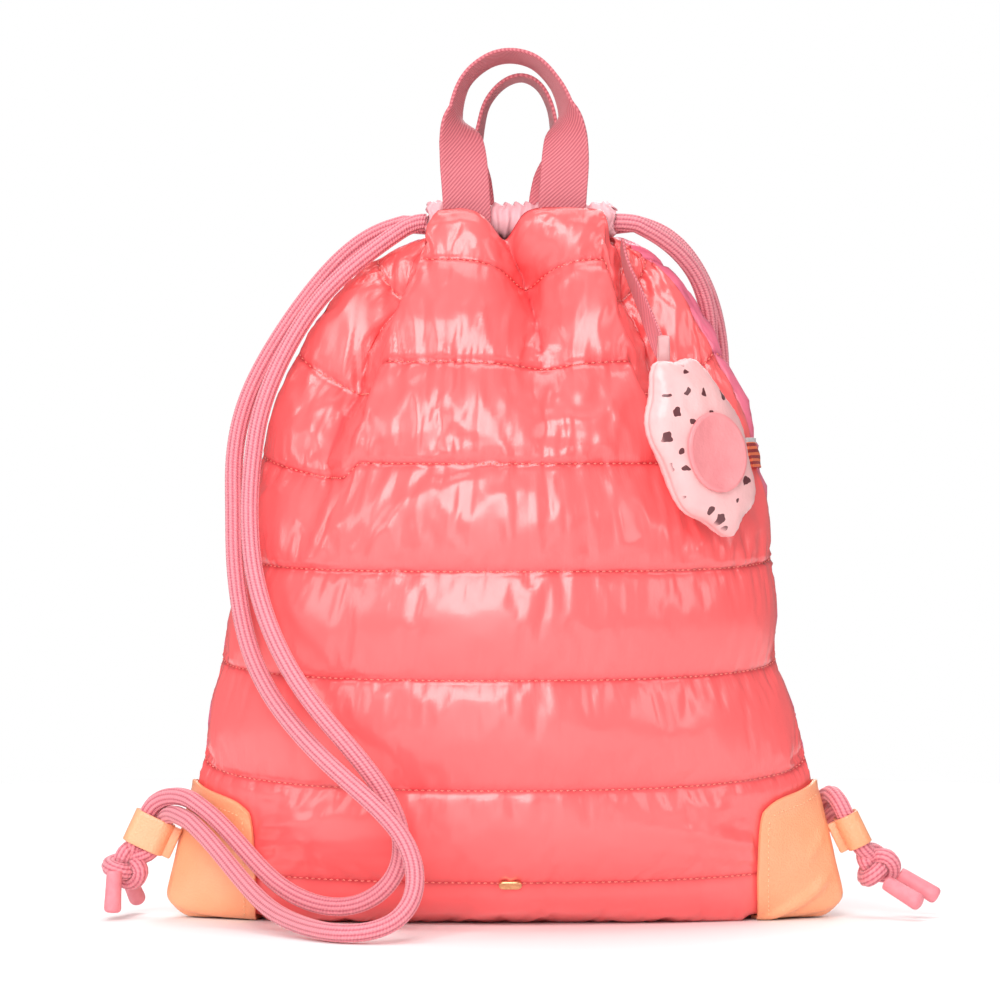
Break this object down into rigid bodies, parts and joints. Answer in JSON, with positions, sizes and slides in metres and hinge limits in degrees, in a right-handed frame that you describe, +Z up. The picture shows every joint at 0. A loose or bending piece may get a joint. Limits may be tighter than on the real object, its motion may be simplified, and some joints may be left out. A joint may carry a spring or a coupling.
{
  "type": "drawstring backpack",
  "caption": "Quilted puffer drawstring backpack with webbing grab handles, braided shoulder cords knotted through leather corner patches, and a hanging padded charm.",
  "frame": {"origin": "on the flat of the base, under the middle of the bag", "axes": "+Z up along the bag, +Y to the back, +X to the right seen from the front; the front faces -Y"},
  "size_m": [0.4399, 0.3061, 0.4581],
  "materials": {
    "coral_nylon": "glossy quilted nylon",
    "pink_nylon": "glossy quilted nylon",
    "tunnel_cloth": "matt gathered lining",
    "webbing": "matt twill webbing",
    "leather": "satin, edge stitched",
    "cord": "matt braid",
    "cord_tip": "dipped, satin",
    "charm_cloth": "satin padded cloth",
    "charm_patch": "satin",
    "tab": "striped woven tape",
    "stud_metal": "polished"
  },
  "bodies": {
    "root": {"front_panel": "coral_nylon", "back_panel": "pink_nylon", "corner_patch_left": "leather", "corner_patch_right": "leather", "tunnel_front": "tunnel_cloth", "tunnel_back": "tunnel_cloth", "front_handle": "webbing", "back_handle": "webbing", "cord_left_outer": "cord", "cord_left_inner": "cord", "cord_right_outer": "cord", "cord_right_inner": "cord", "cord_loop_left": "leather", "cord_loop_right": "leather", "knot_left": "cord", "knot_right": "cord", "cord_tip_left_a": "cord_tip", "cord_tip_left_b": "cord_tip", "cord_tip_right_a": "cord_tip", "cord_tip_right_b": "cord_tip", "charm_pouch": "charm_cloth", "charm_patch": "charm_patch", "charm_strap": "webbing", "charm_tape": "charm_cloth", "side_tab": "tab", "front_stud": "stud_metal"}
  },
  "joints": []
}
